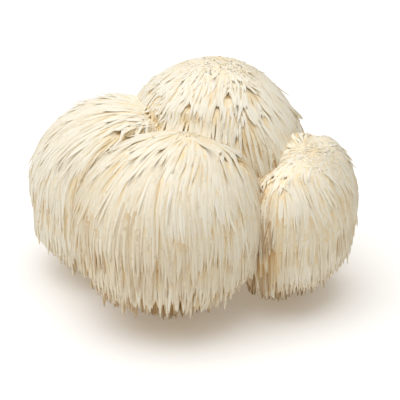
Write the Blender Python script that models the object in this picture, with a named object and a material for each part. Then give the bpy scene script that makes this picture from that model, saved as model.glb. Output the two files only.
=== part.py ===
import math
import random

import bmesh
import bpy
from mathutils import Matrix, Vector

MM = 0.001

# Driving dimensions of the whole cluster
CLUSTER_NAME = "lions_mane_mushroom"
CLUSTER_SHIFT = (0.9, 6.0)
PART_GAP = 0.3
LOCKS_AROUND = 38
SEED = 27

# Each head: centre and radii in mm, tilt of its crown in degrees and the heading it leans to,
# how square its hanging lower half is, and lumps as (heading, height angle, rise, width)
HEADS = {
    "front_head": {
        "colour": (0.82, 0.76, 0.62),
        "centre": (-12.6, -32.0, 46.6),
        "radii": (48.0, 47.4, 45.2),
        "crown_tilt": 24.0,
        "crown_heading": 50.0,
        "squareness": 2.12,
        "lumps": (
            (205.0, 5.0, -0.03, 30.0),
            (300.0, -30.0, 0.015, 25.0),
            (5.0, 40.0, 0.06, 22.0),
            (330.0, -40.0, -0.04, 25.0),
        ),
    },
    "left_head": {
        "colour": (0.81, 0.74, 0.60),
        "centre": (-38.5, 12.0, 46.2),
        "radii": (45.8, 44.6, 45.8),
        "crown_tilt": 26.0,
        "crown_heading": 345.0,
        "squareness": 2.75,
        "lumps": ((215.0, -40.0, -0.03, 32.0), (70.0, 50.0, 0.02, 30.0)),
    },
    "right_head": {
        "colour": (0.79, 0.71, 0.56),
        "centre": (40.3, -13.5, 42.4),
        "radii": (41.0, 41.6, 42.2),
        "crown_tilt": 28.0,
        "crown_heading": 345.0,
        "squareness": 2.2,
        "lumps": (
            (40.0, 38.0, 0.16, 36.0),
            (340.0, -35.0, -0.05, 30.0),
            (238.0, 5.0, -0.13, 26.0),
            (245.0, 68.0, -0.36, 30.0),
        ),
    },
    "top_head": {
        "colour": (0.80, 0.71, 0.54),
        "centre": (11.0, 22.0, 61.6),
        "radii": (45.5, 44.6, 46.6),
        "crown_tilt": 12.0,
        "crown_heading": 75.0,
        "squareness": 2.3,
        "lumps": (
            (170.0, 32.0, 0.07, 30.0),
            (0.0, 45.0, -0.05, 25.0),
            (308.0, 4.0, 0.2, 26.0),
        ),
    },
}

# Two heads press on each other at a plane; a positive shift gives the first one more room
MEETING_SHIFT = {
    ("front_head", "right_head"): 9.0,
    ("front_head", "top_head"): 4.0,
    ("top_head", "right_head"): 10.0,
}

# Hanging locks: share of the head's radius, and of a tier's length
TIP_DEGREES = (15.0, 33.0, 54.0, 79.0, 105.0, 131.0, 155.0)
TIERS = len(TIP_DEGREES)
FIRST_BENT_TIER = 3
FLESH_SHARE = 0.89
VALLEY_SHARE = 0.96
BEND_SHARE = 0.98
BEND_PLACE = 0.5
TIP_DROP = 0.3
TIP_RISE = 0.24
ROOT_STEP = 0.04
LENGTH_JITTER = 0.12
REACH_JITTER = 0.014
TIER_WAVE = 0.2
TIER_WAVE_LOBES = (3, 7)
TIER_WAVE_SHARES = (0.6, 0.4)
TIER_WAVE_DRIFT = 0.8
CROWN_SHARE = 0.985
UNDERSIDE_SHARE = 0.93
LOWEST_TIP = 0.7
LOWEST_TIP_RANGE = 0.6
SPINE_ROUGHNESS = 0.8

# The stub that the heads fork from, cut off flat below; each wave is lobes, start and depth
BASE_CENTRE = (1.0, -3.0)
BASE_CUT_RADIUS = 23.0
BASE_TOP_RADIUS = 29.0
BASE_HEIGHT = 33.0
BASE_WAIST = 0.93
BASE_SEGMENTS = 32
BASE_RINGS = 5
BASE_WAVES = ((3, 0.6, 0.045), (7, 0.0, 0.018))
BASE_DOME = 4.0
BASE_COLOUR = (0.66, 0.52, 0.34)
BASE_ROUGHNESS = 0.85

CUTTER_SIZE = 320.0
MERGE_DISTANCE = 0.000001


def clear_scene():
    for item in list(bpy.data.objects):
        bpy.data.objects.remove(item, do_unlink=True)


def new_collection(name):
    collection = bpy.data.collections.new(name)
    bpy.context.scene.collection.children.link(collection)
    return collection


def principled(name, colour, roughness):
    material = bpy.data.materials.new(name)
    material.use_nodes = True
    shader = material.node_tree.nodes["Principled BSDF"]
    shader.inputs["Base Color"].default_value = (*colour, 1.0)
    shader.inputs["Roughness"].default_value = roughness
    shader.inputs["Metallic"].default_value = 0.0
    material.diffuse_color = (*colour, 1.0)
    return material


def object_from(bm, name, collection, location, material=None):
    mesh = bpy.data.meshes.new(name)
    bm.to_mesh(mesh)
    bm.free()
    made = bpy.data.objects.new(name, mesh)
    made.location = location * MM
    collection.objects.link(made)
    if material is not None:
        mesh.materials.append(material)
    return made


def shade_smooth(made):
    for face in made.data.polygons:
        face.use_smooth = True


def centre_of(spec):
    x, y, z = spec["centre"]
    return Vector((x + CLUSTER_SHIFT[0], y + CLUSTER_SHIFT[1], z))


def mean_radius(spec):
    return sum(spec["radii"]) / len(spec["radii"])


def heading_vector(heading, height):
    turn = math.radians(heading)
    lift = math.radians(height)
    flat = math.cos(lift)
    return Vector((flat * math.cos(turn), flat * math.sin(turn), math.sin(lift)))


def envelope_radius(spec, direction):
    """Distance from the head's centre to the surface that the lock tips reach."""
    rx, ry, rz = spec["radii"]
    across = math.hypot(direction.x / rx, direction.y / ry)
    along = abs(direction.z) / rz
    power = 2.0 if direction.z >= 0.0 else spec["squareness"]
    reach = (across ** power + along ** power) ** (-1.0 / power)
    for heading, height, rise, width in spec["lumps"]:
        apart = heading_vector(heading, height).angle(direction)
        reach *= 1.0 + rise * math.exp(-((apart / math.radians(width)) ** 2))
    return reach


def combed_direction(spec, polar, turn):
    """The crown leans over, while the locks still gather straight below the head."""
    local = Vector((
        math.sin(polar) * math.cos(turn),
        math.sin(polar) * math.sin(turn),
        math.cos(polar),
    ))
    lean = math.radians(spec["crown_tilt"]) * (1.0 + math.cos(polar)) / 2.0
    heading = math.radians(spec["crown_heading"])
    axis = Vector((-math.sin(heading), math.cos(heading), 0.0))
    return Matrix.Rotation(lean, 3, axis) @ local


def ring_plan():
    """Kinds of grid ring from the crown down: the long lower tiers also get a bend."""
    plan = []
    for tier in range(TIERS):
        if tier >= FIRST_BENT_TIER:
            plan.append((tier, "bend"))
        plan.append((tier, "tip"))
        plan.append((tier, "root"))
    return plan


def tier_end(tier, turn):
    """Polar angle where a tier of locks ends; it wanders up and down around the head."""
    if tier < 0:
        return 0.0
    if tier >= TIERS:
        return math.pi
    end = math.radians(TIP_DEGREES[tier])
    start = math.radians(TIP_DEGREES[tier - 1]) if tier > 0 else 0.0
    few, many = TIER_WAVE_LOBES
    broad, fine = TIER_WAVE_SHARES
    drift = TIER_WAVE_DRIFT * tier
    wave = broad * math.sin(few * turn + drift) + fine * math.sin(many * turn - drift)
    return end + TIER_WAVE * (end - start) * wave


def lock_point(spec, jitter, tier, kind, column):
    """Place of one grid point; ridges of one tier stand over the valleys of the next."""
    turn = math.pi * column / LOCKS_AROUND
    start = tier_end(tier - 1, turn)
    end = tier_end(tier, turn)
    length = end - start
    overlap = min(length, tier_end(tier + 1, turn) - end)
    ridge = (column + tier) % 2 == 0
    longer, further = jitter[tier][column]
    if kind == "tip":
        polar = end + overlap * ((TIP_DROP if ridge else -TIP_RISE) + longer)
        share = (1.0 if ridge else VALLEY_SHARE) - further
    elif kind == "bend":
        polar = start + length * BEND_PLACE
        share = BEND_SHARE * (1.0 if ridge else VALLEY_SHARE) - further
    else:
        polar = end + (tier_end(tier + 1, turn) - end) * ROOT_STEP
        share = FLESH_SHARE
    direction = combed_direction(spec, min(polar, math.pi), turn)
    return direction * envelope_radius(spec, direction) * share


def head_mesh(spec, seed):
    rng = random.Random(seed)
    columns = 2 * LOCKS_AROUND
    jitter = [
        [
            (rng.uniform(-LENGTH_JITTER, LENGTH_JITTER), rng.uniform(0.0, REACH_JITTER))
            for _ in range(columns)
        ]
        for _ in range(TIERS)
    ]
    plan = ring_plan()
    rings = len(plan) + 1
    bm = bmesh.new()
    bmesh.ops.create_uvsphere(bm, u_segments=columns, v_segments=rings, radius=1.0)
    for vert in bm.verts:
        polar = math.acos(max(-1.0, min(1.0, vert.co.z)))
        ring = round(polar / math.pi * rings)
        turn = math.atan2(vert.co.y, vert.co.x) % (2.0 * math.pi)
        column = round(turn / (2.0 * math.pi) * columns) % columns
        if ring == 0:
            direction = combed_direction(spec, 0.0, 0.0)
            place = direction * envelope_radius(spec, direction) * CROWN_SHARE
        elif ring == rings:
            direction = Vector((0.0, 0.0, -1.0))
            place = direction * envelope_radius(spec, direction) * UNDERSIDE_SHARE
        else:
            tier, kind = plan[ring - 1]
            place = lock_point(spec, jitter, tier, kind, column)
        lowest = LOWEST_TIP + LOWEST_TIP_RANGE * rng.random() - spec["centre"][2]
        place.z = max(place.z, lowest)
        vert.co = place * MM
    bmesh.ops.triangulate(bm, faces=bm.faces[:])
    bmesh.ops.recalc_face_normals(bm, faces=bm.faces[:])
    return bm


def base_mesh(grow):
    """Tapered stub with a flat cut underside; grow makes the slightly larger cutter."""
    bm = bmesh.new()
    rings = BASE_RINGS + 2
    bmesh.ops.create_uvsphere(bm, u_segments=BASE_SEGMENTS, v_segments=rings, radius=1.0)
    for vert in bm.verts:
        polar = math.acos(max(-1.0, min(1.0, vert.co.z)))
        ring = round(polar / math.pi * rings)
        turn = math.atan2(vert.co.y, vert.co.x)
        wave = 1.0 + sum(depth * math.sin(lobes * turn + start) for lobes, start, depth in BASE_WAVES)
        if ring == 0:
            vert.co = Vector((0.0, 0.0, BASE_HEIGHT + BASE_DOME + grow))
        elif ring == rings:
            vert.co = Vector((0.0, 0.0, -grow))
        else:
            share = (ring - 1) / (rings - 2)
            waist = 1.0 - (1.0 - BASE_WAIST) * math.sin(math.pi * share)
            radius = BASE_TOP_RADIUS + (BASE_CUT_RADIUS - BASE_TOP_RADIUS) * share
            radius = radius * waist * wave + grow
            height = (BASE_HEIGHT + grow) * (1.0 - share) - grow * share
            vert.co = Vector((radius * math.cos(turn), radius * math.sin(turn), height))
        vert.co *= MM
    bmesh.ops.triangulate(bm, faces=bm.faces[:])
    bmesh.ops.recalc_face_normals(bm, faces=bm.faces[:])
    return bm


def meeting_shift(own_name, other_name):
    shift = MEETING_SHIFT.get((own_name, other_name), 0.0)
    return shift - MEETING_SHIFT.get((other_name, own_name), 0.0)


def parting_cutter(own_name, other_name, collection):
    """Large block on the neighbour's side of the plane where the two heads meet."""
    own = HEADS[own_name]
    other = HEADS[other_name]
    here = centre_of(own)
    there = centre_of(other)
    between = there - here
    apart = between.length
    along = (apart ** 2 + mean_radius(own) ** 2 - mean_radius(other) ** 2) / (2.0 * apart)
    along += meeting_shift(own_name, other_name)
    normal = between.normalized()
    middle = here + normal * (along - PART_GAP / 2.0 + CUTTER_SIZE / 2.0)
    bm = bmesh.new()
    bmesh.ops.create_cube(bm, size=CUTTER_SIZE * MM)
    cutter = object_from(bm, own_name + "_from_" + other_name, collection, middle)
    cutter.rotation_mode = "QUATERNION"
    cutter.rotation_quaternion = normal.to_track_quat("Z", "Y")
    return hidden_cutter(cutter)


def hidden_cutter(cutter):
    cutter.hide_render = True
    cutter.display_type = "WIRE"
    return cutter


def cut(target, cutter):
    modifier = target.modifiers.new("cut_" + cutter.name, "BOOLEAN")
    modifier.operation = "DIFFERENCE"
    modifier.solver = "EXACT"
    modifier.object = cutter
    graph = bpy.context.evaluated_depsgraph_get()
    graph.update()
    result = bpy.data.meshes.new_from_object(target.evaluated_get(graph))
    target.modifiers.clear()
    old = target.data
    target.data = result
    bpy.data.meshes.remove(old)


def keep_largest_body(made):
    bm = bmesh.new()
    bm.from_mesh(made.data)
    bmesh.ops.remove_doubles(bm, verts=bm.verts[:], dist=MERGE_DISTANCE)
    unseen = set(bm.verts)
    bodies = []
    while unseen:
        stack = [unseen.pop()]
        body = set(stack)
        while stack:
            for edge in stack.pop().link_edges:
                for vert in edge.verts:
                    if vert not in body:
                        body.add(vert)
                        unseen.discard(vert)
                        stack.append(vert)
        bodies.append(body)
    bodies.sort(key=len, reverse=True)
    loose = [vert for body in bodies[1:] for vert in body]
    bmesh.ops.delete(bm, geom=loose, context="VERTS")
    bmesh.ops.triangulate(bm, faces=bm.faces[:])
    bm.to_mesh(made.data)
    bm.free()


clear_scene()
parts = new_collection(CLUSTER_NAME)
cutters = new_collection("cutters")

base_place = Vector((BASE_CENTRE[0] + CLUSTER_SHIFT[0], BASE_CENTRE[1] + CLUSTER_SHIFT[1], 0.0))
base_material = principled("base_flesh", BASE_COLOUR, BASE_ROUGHNESS)
base = object_from(base_mesh(0.0), "base", parts, base_place, base_material)
shade_smooth(base)
base_space = object_from(base_mesh(PART_GAP), "base_space", cutters, base_place)
base_cutter = hidden_cutter(base_space)

for number, (name, spec) in enumerate(HEADS.items()):
    spines = principled(name + "_spines", spec["colour"], SPINE_ROUGHNESS)
    head = object_from(head_mesh(spec, SEED + number), name, parts, centre_of(spec), spines)
    for other_name in HEADS:
        if other_name != name:
            cut(head, parting_cutter(name, other_name, cutters))
    cut(head, base_cutter)
    keep_largest_body(head)
    shade_smooth(head)
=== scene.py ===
import math
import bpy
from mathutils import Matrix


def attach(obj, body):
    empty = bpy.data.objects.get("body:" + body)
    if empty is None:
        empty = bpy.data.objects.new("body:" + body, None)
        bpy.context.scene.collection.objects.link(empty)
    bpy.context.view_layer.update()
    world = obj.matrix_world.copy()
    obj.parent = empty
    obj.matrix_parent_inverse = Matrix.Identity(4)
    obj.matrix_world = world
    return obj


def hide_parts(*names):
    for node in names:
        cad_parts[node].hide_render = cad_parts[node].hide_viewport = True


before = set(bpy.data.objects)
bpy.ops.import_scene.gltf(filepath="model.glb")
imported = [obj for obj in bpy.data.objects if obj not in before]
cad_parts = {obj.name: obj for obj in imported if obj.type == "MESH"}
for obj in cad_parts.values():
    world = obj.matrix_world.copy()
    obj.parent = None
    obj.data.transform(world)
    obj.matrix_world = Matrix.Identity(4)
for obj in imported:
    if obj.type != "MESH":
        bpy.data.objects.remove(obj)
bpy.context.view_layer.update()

from types import SimpleNamespace

import bmesh
import bpy
import numpy as np
from mathutils import Vector, noise

MM = 0.001
UP = np.array([0.0, 0.0, 1.0])
DOWN = -UP

# Camera, at the angle of the photograph, in metres and degrees; lens and sensor in mm
VIEW_TARGET = Vector((0.0039, 0.011, 0.0405))
VIEW_ELEVATION = 27.0
VIEW_DISTANCE = 1.0
VIEW_LENS = 178.0
SENSOR_WIDTH = 36.0

# Light: colours of the sky at three heights, and two wide suns with the way towards each
HORIZON = (0.05, 0.042, 0.03)
HALF_UP = (0.16, 0.148, 0.125)
ZENITH = (1.35, 1.34, 1.33)
KEY_WAY = (-0.22, 0.0, 1.0)
KEY_SPREAD = 72.0
KEY_STRENGTH = 1.32
SIDE_WAY = (-1.0, -0.1, 0.75)
SIDE_SPREAD = 40.0
SIDE_STRENGTH = 0.3

# Floor, in metres
FLOOR_SIZE = 4.0
FLOOR_DROP = 0.0003
FLOOR_COLOUR = (0.77, 0.80, 0.84, 1.0)
FLOOR_GLOW_COLOUR = (1.0, 0.87, 0.69, 1.0)
FLOOR_GLOW = 0.28

# Colours of the spines, as stops on the map's U for tint, which also holds painted shade, and on its
# V for painted shade by depth under the tips and on the side towards the head, whiter towards the
# tips
SPINE_TINTS = (
    (0.0, (0.97, 0.935, 0.84)),
    (0.2, (0.945, 0.897, 0.785)),
    (0.55, (0.86, 0.78, 0.63)),
    (1.0, (0.60, 0.44, 0.27)),
)
SPINE_DEPTH_SHADES = (
    (0.0, (0.96, 0.75, 0.47)),
    (0.3, (0.97, 0.84, 0.61)),
    (0.7, (0.99, 0.97, 0.91)),
    (1.0, (1.0, 1.0, 1.0)),
)

# Colours of the flesh and of the base
FLESH_LIGHT = (0.96, 0.84, 0.62)
FLESH_DARK = (0.93, 0.75, 0.48)
FLESH_AT_CROWN = (0.97, 0.87, 0.66)
# Ochre flesh in the pits, darkened as painted shade in the hollow
FLESH_SHADED_IN_PITS = (0.80, 0.54, 0.25)
BASE_LIGHT = (0.80, 0.68, 0.48)
BASE_DARK = (0.62, 0.46, 0.27)
MOTTLE_STOPS = (0.35, 0.6)
FLESH_MOTTLE = 120.0
BASE_MOTTLE = 180.0

# The cluster stands this far from the middle of its layout, in mm
CLUSTER_SHIFT = (0.9, 6.0)

# Each head, in mm and degrees; a place on it is a heading and a height angle seen from its centre.
# squareness is the power of the lower half's outline, from 2 for round to more for straight sides.
# lumps are (heading, height angle, rise as a share, width).
# spines is how many it bears. tint runs from white (0) to tan (1), the low tan adds tan near the
# floor as painted shade, and crown_tan adds tan on top.
# crown_reach is where the crown's combing gives way to gravity's, in degrees from the crown.
# crown_size is the crown's width, where spines have crown_length and the flesh is fuller by
# crown_flesh.
# tufts is how many short spines lie within tuft_zone of the crown; no long ones grow within fuzz.
# length is how long the hanging spines are, and upper_length a share of it for those on the dome.
# tiers are the angles from straight up where locks of spines end together.
# whorls are small lobes that spines are combed away from: (heading, height angle, width, strength).
# pits are small openings between locks, where the ochre flesh shows: (heading, height angle).
# tip_dip is how far the tips that end on the dome sink back among their neighbours.
# clump is how far spines on the dome are drawn together into locks.
# girth is how thick its spines are, as a share of the usual.
# tuck_from is the angle from straight up where its flesh starts to draw in.
HEADS = {
    "front_head": {
        "centre": (-12.6, -32.0, 46.6),
        "radii": (48.0, 47.4, 45.2),
        "crown_tilt": 24.0,
        "crown_heading": 50.0,
        "squareness": 2.12,
        "lumps": (
            (205.0, 5.0, -0.03, 30.0),
            (300.0, -30.0, 0.015, 25.0),
            (5.0, 40.0, 0.06, 22.0),
            (330.0, -40.0, -0.04, 25.0),
        ),
        "spines": 3650,
        "tint": 0.25,
        "low_shade_tan": 0.38,
        "crown_tan": 0.0,
        "crown_reach": (35.0, 95.0),
        "crown_size": 14.0,
        "crown_length": (14.0, 34.0),
        "crown_flesh": 0.024,
        "tufts": 350,
        "fuzz": 3.0,
        "tuft_zone": 13.0,
        "length": (26.0, 42.0),
        "tiers": (76.0, 98.0, 118.0, 140.0),
        "whorls": ((5.0, 44.0, 13.0, 0.6),),
        "pits": ((3.0, 43.0), (352.0, 55.0)),
        "upper_length": 0.72,
        "tip_dip": 0.7,
        "clump": 0.12,
        "girth": 1.0,
        "tuck_from": 80.0,
        "seed": 11,
    },
    "left_head": {
        "centre": (-38.5, 12.0, 46.2),
        "radii": (45.8, 44.6, 45.8),
        "crown_tilt": 26.0,
        "crown_heading": 345.0,
        "squareness": 2.75,
        "lumps": ((215.0, -40.0, -0.03, 32.0), (70.0, 50.0, 0.02, 30.0)),
        "spines": 3300,
        "tint": 0.13,
        "low_shade_tan": 0.08,
        "crown_tan": 0.0,
        "crown_reach": (35.0, 90.0),
        "crown_size": 18.0,
        "crown_length": (12.0, 20.0),
        "crown_flesh": 0.024,
        "tufts": 800,
        "fuzz": 7.0,
        "tuft_zone": 21.0,
        "length": (26.0, 40.0),
        "tiers": (72.0, 94.0, 116.0, 140.0),
        "whorls": ((300.0, 62.0, 9.0, 0.4),),
        "pits": ((276.0, 61.0), (292.0, 57.0)),
        "upper_length": 0.72,
        "tip_dip": 0.7,
        "clump": 0.06,
        "girth": 0.95,
        "tuck_from": 80.0,
        "seed": 12,
    },
    "right_head": {
        "centre": (40.3, -13.5, 42.4),
        "radii": (41.0, 41.6, 42.2),
        "crown_tilt": 28.0,
        "crown_heading": 345.0,
        "squareness": 2.2,
        "lumps": (
            (40.0, 38.0, 0.16, 36.0),
            (340.0, -35.0, -0.05, 30.0),
            (238.0, 5.0, -0.13, 26.0),
            (245.0, 68.0, -0.36, 30.0),
        ),
        "spines": 3300,
        "tint": 0.02,
        "low_shade_tan": 0.42,
        "crown_tan": 0.0,
        "crown_reach": (12.0, 48.0),
        "crown_size": 16.0,
        "crown_length": (9.0, 14.0),
        "crown_flesh": 0.037,
        "tufts": 1900,
        "fuzz": 11.0,
        "tuft_zone": 27.0,
        "length": (28.0, 44.0),
        "tiers": (40.0, 76.0, 100.0, 122.0, 142.0),
        "whorls": ((275.0, 46.0, 15.0, 0.3),),
        "pits": ((287.0, 62.0), (263.0, 70.0), (250.0, 62.0), (240.0, 66.0), (248.0, 55.0)),
        "upper_length": 0.7,
        "tip_dip": 0.75,
        "clump": 0.15,
        "girth": 0.85,
        "tuck_from": 80.0,
        "seed": 13,
    },
    "top_head": {
        "centre": (11.0, 22.0, 61.6),
        "radii": (45.5, 44.6, 46.6),
        "crown_tilt": 12.0,
        "crown_heading": 75.0,
        "squareness": 2.3,
        "lumps": ((170.0, 32.0, 0.07, 30.0), (0.0, 45.0, -0.05, 25.0), (308.0, 4.0, 0.2, 26.0)),
        "spines": 3600,
        "tint": 0.07,
        "low_shade_tan": 0.42,
        "crown_tan": 0.12,
        "crown_reach": (30.0, 80.0),
        "crown_size": 24.0,
        "crown_length": (7.0, 11.0),
        "crown_flesh": 0.03,
        "tufts": 4700,
        "fuzz": 21.0,
        "tuft_zone": 38.0,
        "length": (12.0, 21.0),
        "tiers": (30.0, 44.0, 60.0, 78.0, 97.0, 120.0, 142.0),
        "whorls": ((314.0, 58.0, 13.0, 0.38), (294.0, 39.0, 14.0, 0.35)),
        "pits": (
            (285.0, 60.0), (272.0, 53.0), (242.0, 51.0), (226.0, 38.0),
            (272.0, 28.0), (311.0, 43.0), (335.0, 36.0),
        ),
        "upper_length": 0.75,
        "tip_dip": 0.45,
        "clump": 0.18,
        "girth": 0.95,
        "tuck_from": 96.0,
        "seed": 14,
    },
}
# How far, in mm, the plane between two heads is moved towards the second
MEETING_SHIFT = {
    ("front_head", "right_head"): 9.0,
    ("front_head", "top_head"): 4.0,
    ("top_head", "right_head"): 10.0,
}
# Behind, over these depths in mm, the plane opens and the first head goes on past it
OPEN_BEHIND = {("right_head", "top_head"): (8.0, 18.0)}
# How much lower a head's spines lie, as a share, where each of these neighbours overhangs them
OVERHANGS = {
    "front_head": {},
    "top_head": {"front_head": 0.035},
    "left_head": {"front_head": 0.05, "top_head": 0.02},
    "right_head": {"front_head": 0.07, "top_head": 0.05},
}
GROOVE_WIDTH = 2.6
FLESH_GROOVE = 1.6
FLESH_GAP = 0.15
NO_NEIGHBOUR = -100.0

# Flesh: shares of the way from a head's centre to its spine tips, angles from straight up
FLESH_TOP = 0.957
FLESH_BOTTOM = 0.6
FLESH_FULLER = 0.011
FLESH_COVER = 0.018
FLESH_TUCKED = 142.0
CROWN_SPREAD = 1.5
CROWN_SHOWS = (0.024, 0.03)
FLESH_SEGMENTS = (72, 48)
FLESH_BUMPS = ((0.12, 0.6), (0.5, 0.2))
FLESH_CLEARANCE = 1.5

# Pits: sizes in mm, PIT_REACH in degrees, and how many times PIT_SIZE each effect of one spreads
PIT_SIZE = 1.15
PIT_REACH = 3.0
PIT_PUSH = 0.8
PIT_DEPTH = 1.0
PIT_DIMPLE = 0.4
PIT_EDGE = 0.6
PIT_SHADE_SPREAD = 1.3
PIT_DEPTH_SPREAD = 1.8
PIT_FINE_SPREAD = 2.5
PIT_DIMPLE_SPREAD = 4.0
PIT_FINE_FROM = 0.2
PIT_CUTS = 4

# Roots: spread out by the golden angle, shaken a little, and left out where a neighbour hides them
SPINE_ZONE = 158.0
ROOT_LOOSENESS = 0.5
ROOT_TRIES = 8
ENOUGH_ROOTS = 0.985
NARROWEST_TURN = 0.1
NEIGHBOUR_DEPTH = 3.0
FUZZ_EDGE = (0.75, 1.15)

# Locks: how many a head has, and how far their spines are drawn to the leading one
LOCKS = 850
LOCK_PULL = 0.55
LOCK_PULL_SPREAD = (0.6, 1.2)
LOCK_PULL_BEND = 1.3
BIG_LOCKS = 90
BIG_LOCK_PULL = 0.12
BIG_LOCK_PULL_BEND = 1.5
HANGING_CLUMP = 0.85
CLUMPED_FROM = (70.0, 95.0)
LOCK_BLOCK = 500

# Where spines end, in degrees from straight up
HANGING_FROM = (45.0, 95.0)
TIER_REACH = 11.0
TIER_CLEAR = 5.0
LAST_TIER = 170.0
TIER_JITTER = 6.0
LOCK_JITTER = 4.5
STRAND_JITTER = 2.4
TIER_WAVE = 8.0
WAVE_SIZE = 14.0
POINTED_TIP = 5.0
POINTED_BIG_LOCK = 0.6
POINTED_FROM = 0.5

# Lengths of spines, in mm or as shares
LENGTH_SLACK = 1.03
ROOT_DEPTH = 2.0
SHORTEST = 2.5
LONGEST_SHARE = 1.15
CROWN_BODY = (0.5, 1.6)
WHORL_CLEAR = 5.0
WHORL_STOP = (-1.5, 3.0)
WHORL_STOP_WIDTH = 0.35
LENGTH_FITS = 3
FIT_SHARE = 0.98

# How far out the tips lie, as shares of the envelope; TIER_STEPS are (share, from, to in degrees)
TIP_TOP = (0.983, 0.996)
TIP_TOP_JITTER = (-0.007, 0.005)
BIG_LOCK_CROWN = 0.010
LEVEL_DOME = 0.55
LEVEL_UNTIL = (60.0, 95.0)
HANGING_TIP = 0.99
HANGING_TIP_JITTER = (-0.028, 0.012)
HANGING_ANGLES = (90.0, 170.0)
TIER_STEPS = ((0.024, 99.0, 107.0), (0.018, 123.0, 131.0))
TIP_SHARE = (0.96, 1.04)

# Strays stand a little off the rest, and wisps further
STRAY_SHARE = 0.08
STRAY_RISE = 0.02
STRAY_SPREAD = (0.3, 1.1)
WISP_SHARE = 0.04
WISP_RISE = 0.07
WISP_SPREAD = (0.4, 1.0)

# Sway: how far spines turn sideways from their combing
STRAND_SWAY = 0.04
PATCH_SWAY = 0.08
LOCK_SWAY = 0.045
STRAY_SWAY = 0.06
CROWN_SWIRL = 0.5
SWIRL_FROM = 0.3
HANGING_STEADY = 0.68

# The bend of a spine from root to tip, with angles from straight up
SPINE_RINGS = (0.0, 0.15, 0.31, 0.48, 0.65, 0.82, 0.955, 1.0)
BRIM = (82.0, 99.0)
DOME_LEAN = 0.3
DOME_LEAN_FROM = (45.0, 75.0)
ROOT_TOP = 0.967
ROOT_UNDER_TIP = 0.02
ROOT_LIFT = 5.0
ROOT_STAND = 0.6
ROOT_STAND_UNTIL = 0.35
RISE_BEND = (0.7, 1.3)
FLICK_BEND = 3
DIP_FROM = 0.5
DIP_UNTIL = (62.0, 88.0)
WHORL_RISE = 0.025
HANGING_COVER = 0.01
LOWEST_TIP = 0.8

# Shape of a spine, in mm; FLATNESS, _SOFTNESS and the pairs of painted shade on the side towards the
# head are for spines that lie and that hang
SPINE_SIDES = 4
SPINE_RADIUS = 0.98
RADIUS_SPREAD = 0.2
LOW_THICKER = 0.1
THICKER_BELOW = (20.0, 50.0)
TAPER_AT = (0.0, 0.3, 0.6, 0.82, 0.955, 1.0)
TAPER = (0.8, 1.0, 0.92, 0.66, 0.3, 0.0)
FLATNESS = (0.5, 0.85)
SPINE_SOFTNESS = (1.1, 0.5)
SPINE_INNER_SHADE = (0.2, 0.08)
LYING_UNTIL = (40.0, 85.0)

# Tufts: short spines that lie in the fuzz of a crown, a few of them standing up; TUFT_HEIGHTS also
# sets their painted shade, darker and more ochre towards the root
TUFT_RINGS = (0.0, 0.3, 0.7, 1.0)
TUFT_HEIGHTS = (0.0, 0.6, 1.0, 0.75)
TUFTS_UP = 0.12
TUFT_UP_HEIGHT = 2.2
TUFT_RADIUS = 0.58
TUFT_LENGTH = (3.0, 5.5)
TUFT_LONGER = 0.5
TUFT_RISE = (0.009, 0.017)
TUFT_LEAN = 0.9
TUFT_COMBED = 0.4
TUFT_TURN = 0.5
TUFT_THIN_FROM = 0.4
TUFT_EDGE_FROM = 0.5
TUFT_SOFTNESS = (2.2, 1.2)
# Painted shade on the side of a tuft towards the head
TUFT_INNER_SHADE = (0.4, 0.4)

# Tints, from 0 for white to 1 for tan; a pair of tans is for deep strands and for the others.
# The tans where heads meet, in the cleft by the floor, in the fringe and low down are painted shade.
# _ABOVE and _BELOW are heights of tips in mm, and _FROM is mm past a meeting plane.
CROWN_TAN_SPREAD = 1.3
STRAND_TINT = 0.05
PATCH_TINT = 0.09
TINT_PATCH_SIZE = 18.0
LOCK_TINT = 0.09
TUFT_PATCH_TINT = 0.2
TUFT_PATCH_SIZE = 2.6
OCHRE_SHARE = 0.12
OCHRE_TINT = 0.35
OCHRE_SPREAD = (0.4, 1.0)
OCHRE_ABOVE = (45.0, 70.0)
DEEP_STRANDS = 0.52
MEETING_SHADE_TAN = (0.5, 0.1)
MEETING_FROM = (-0.8, 0.6)
MEETING_BELOW = (75.0, 50.0)
LOW_SHADE_BELOW = (30.0, 88.0)
CLEFT_SHADE_TAN = (0.65, 0.15)
CLEFT_FROM = (-9.0, 0.0)
CLEFT_BELOW = (34.0, 12.0)
FRINGE_SHADE_TAN = (0.85, 0.25)
FRINGE_BELOW = (0.0, 22.0)

# The map of the spines: U has the tint, and V painted shade by depth under the tips and on the side
# towards the head, mixed with whitening towards the tips and a little of the length
MAP_TINT = (0.03, 0.93)
SIDE_TINT = 0.01
DEEP_SHARE = 0.93
OUTER_SHARE = 0.988
WHITE_FROM = (0.05, 0.62)
DEPTH_SHADE_WEIGHT = 0.5
MAP_SHADE = (0.02, 0.93)
MAP_LENGTH = 0.04
MAP_FLESH = (0.02, 0.96)

# Smooth random patches: a sum of waves, brought to about -1 to 1
PATCH_WAVES = 6
WAVE_PHASE = 6.28
WAVE_LEVEL = 2.45


def smooth_step(low, high, value):
    """0 up to low, 1 from high on and smooth between them; low may be the greater of the two."""
    t = np.clip((value - low) / (high - low), 0.0, 1.0)
    return t * t * (3.0 - 2.0 * t)


def mixed(pair, share):
    """From the first of a pair to the second as the share goes from 0 to 1."""
    return pair[0] + (pair[1] - pair[0]) * share


def unit(rows):
    return rows / np.maximum(np.linalg.norm(rows, axis=-1, keepdims=True), 1e-9)


def wander(points, scale, seed):
    """Smooth random number for each point, between about -1 and 1, in patches of a size in mm."""
    rng = np.random.default_rng(seed)
    total = np.zeros(len(points))
    for _ in range(PATCH_WAVES):
        wave = rng.normal(size=3) / scale
        total += np.sin(points @ wave + rng.uniform(0.0, WAVE_PHASE))
    return total / WAVE_LEVEL


def head_centre(head):
    x, y, z = head["centre"]
    return np.array([x + CLUSTER_SHIFT[0], y + CLUSTER_SHIFT[1], z])


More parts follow.
